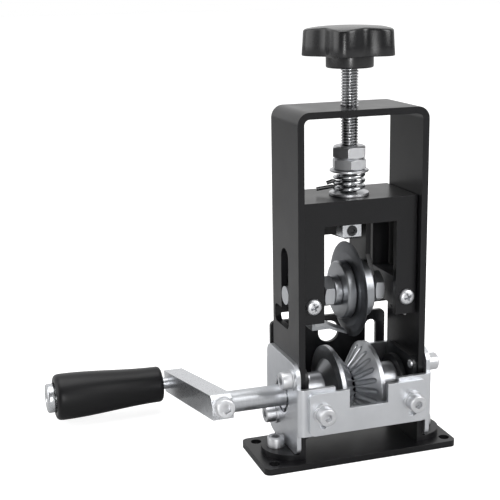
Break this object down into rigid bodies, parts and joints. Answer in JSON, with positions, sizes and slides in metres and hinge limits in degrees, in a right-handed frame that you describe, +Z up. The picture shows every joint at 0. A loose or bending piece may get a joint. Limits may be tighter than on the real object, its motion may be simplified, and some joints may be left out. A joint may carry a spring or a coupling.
{
  "type": "hand crank wire stripper",
  "caption": "Bench wire stripper: a crank turns toothed V wheels that pull wire under a round blade, which a knob, rod and sprung carriage set to height.",
  "frame": {"origin": "centre of the four bench holes, on the underside of the base plate", "axes": "+Z up along the threaded rod, +X along the crank shaft away from the crank arm, -Y to the front, where the wire goes in"},
  "size_m": [0.1779, 0.1139, 0.195],
  "materials": {
    "black_coat": "fine black powder coat",
    "zinc_sheet": "bright zinc plated sheet, satin",
    "bright_fasteners": "bright zinc plated",
    "dark_steel": "black oxide",
    "bearing_steel": "ground and polished",
    "turned_steel": "turned, bright",
    "wheel_steel": "machined and hardened, satin",
    "crank_zinc": "bright zinc plated bar, satin",
    "grip_plastic": "smooth moulded",
    "cap_metal": "polished",
    "guide_plastic": "plain",
    "finger_steel": "bare spring steel",
    "blade_steel": "ground, grey",
    "collar_steel": "turned, grey",
    "rod_steel": "rolled thread, bright",
    "spring_steel": "zinc plated wire",
    "knob_plastic": "moulded, slight sheen"
  },
  "bodies": {
    "frame": {"base_plate": "black_coat", "main_frame": "black_coat", "foot_screws": "bright_fasteners", "side_bracket_left": "zinc_sheet", "side_bracket_right": "zinc_sheet", "bracket_screws": "bright_fasteners", "bracket_washers": "bright_fasteners", "front_plate": "zinc_sheet", "front_plate_screws": "bright_fasteners", "front_plate_washers": "bright_fasteners", "rear_guide_plate": "black_coat", "rear_plate_screws": "bright_fasteners", "rear_plate_washers": "bright_fasteners", "bearing_retainer_left": "dark_steel", "bearing_retainer_right": "dark_steel", "bearing_outer_left": "bearing_steel", "bearing_outer_right": "bearing_steel", "bearing_balls_left": "bearing_steel", "bearing_balls_right": "bearing_steel"},
    "crank": {"crank_shaft": "turned_steel", "bearing_inner_left": "bearing_steel", "bearing_inner_right": "bearing_steel", "feed_wheel_left": "wheel_steel", "feed_wheel_right": "wheel_steel", "hub_set_screws": "dark_steel", "spacer_rings": "dark_steel", "crank_arm": "crank_zinc", "arm_clamp_screw": "bright_fasteners", "arm_clamp_washer": "bright_fasteners", "grip_spindle": "turned_steel", "grip_end_cap": "cap_metal"},
    "grip": {"grip": "grip_plastic"},
    "carriage": {"carriage": "black_coat", "carriage_screws": "bright_fasteners", "guide_block_left": "guide_plastic", "guide_block_right": "guide_plastic", "guide_pins": "turned_steel", "wire_finger": "finger_steel", "blade_hanger": "black_coat", "blade_bolt": "turned_steel", "blade_nut": "turned_steel", "blade_sleeve": "turned_steel"},
    "blade": {"blade_disc": "blade_steel", "blade_collar_left": "collar_steel", "blade_collar_right": "collar_steel"},
    "adjuster": {"threaded_rod": "rod_steel", "rod_end_block": "crank_zinc", "rod_end_flange": "dark_steel", "block_set_screw": "dark_steel", "spring_washer": "bright_fasteners", "spring": "spring_steel", "jam_nuts": "bright_fasteners", "split_pin": "dark_steel", "adjuster_knob": "knob_plastic"}
  },
  "joints": [
    {"name": "crank_spin", "type": "hinge", "parent": "frame", "child": "crank", "pos_m": [0, 0.0033, 0.0289], "axis": [1, 0, 0], "continuous": true},
    {"name": "grip_spin", "type": "hinge", "parent": "crank", "child": "grip", "pos_m": [-0.1, 0.07554, 0.01381], "axis": [1, 0, 0], "continuous": true},
    {"name": "blade_height", "type": "slide", "parent": "frame", "child": "carriage", "axis": [0, 0, 1], "range_m": [-0.009, 0.014]},
    {"name": "adjust_turn", "type": "hinge", "parent": "carriage", "child": "adjuster", "pos_m": [0, 0.0028, 0.15], "axis": [0, 0, 1], "range_deg": [-2593, 4033]},
    {"name": "blade_spin", "type": "hinge", "parent": "carriage", "child": "blade", "pos_m": [0, 0.0033, 0.0762], "axis": [1, 0, 0], "continuous": true}
  ],
  "couplings": [
    {"joint": "adjust_turn", "follows": "blade_height", "rad_per_m": 5026.5}
  ]
}
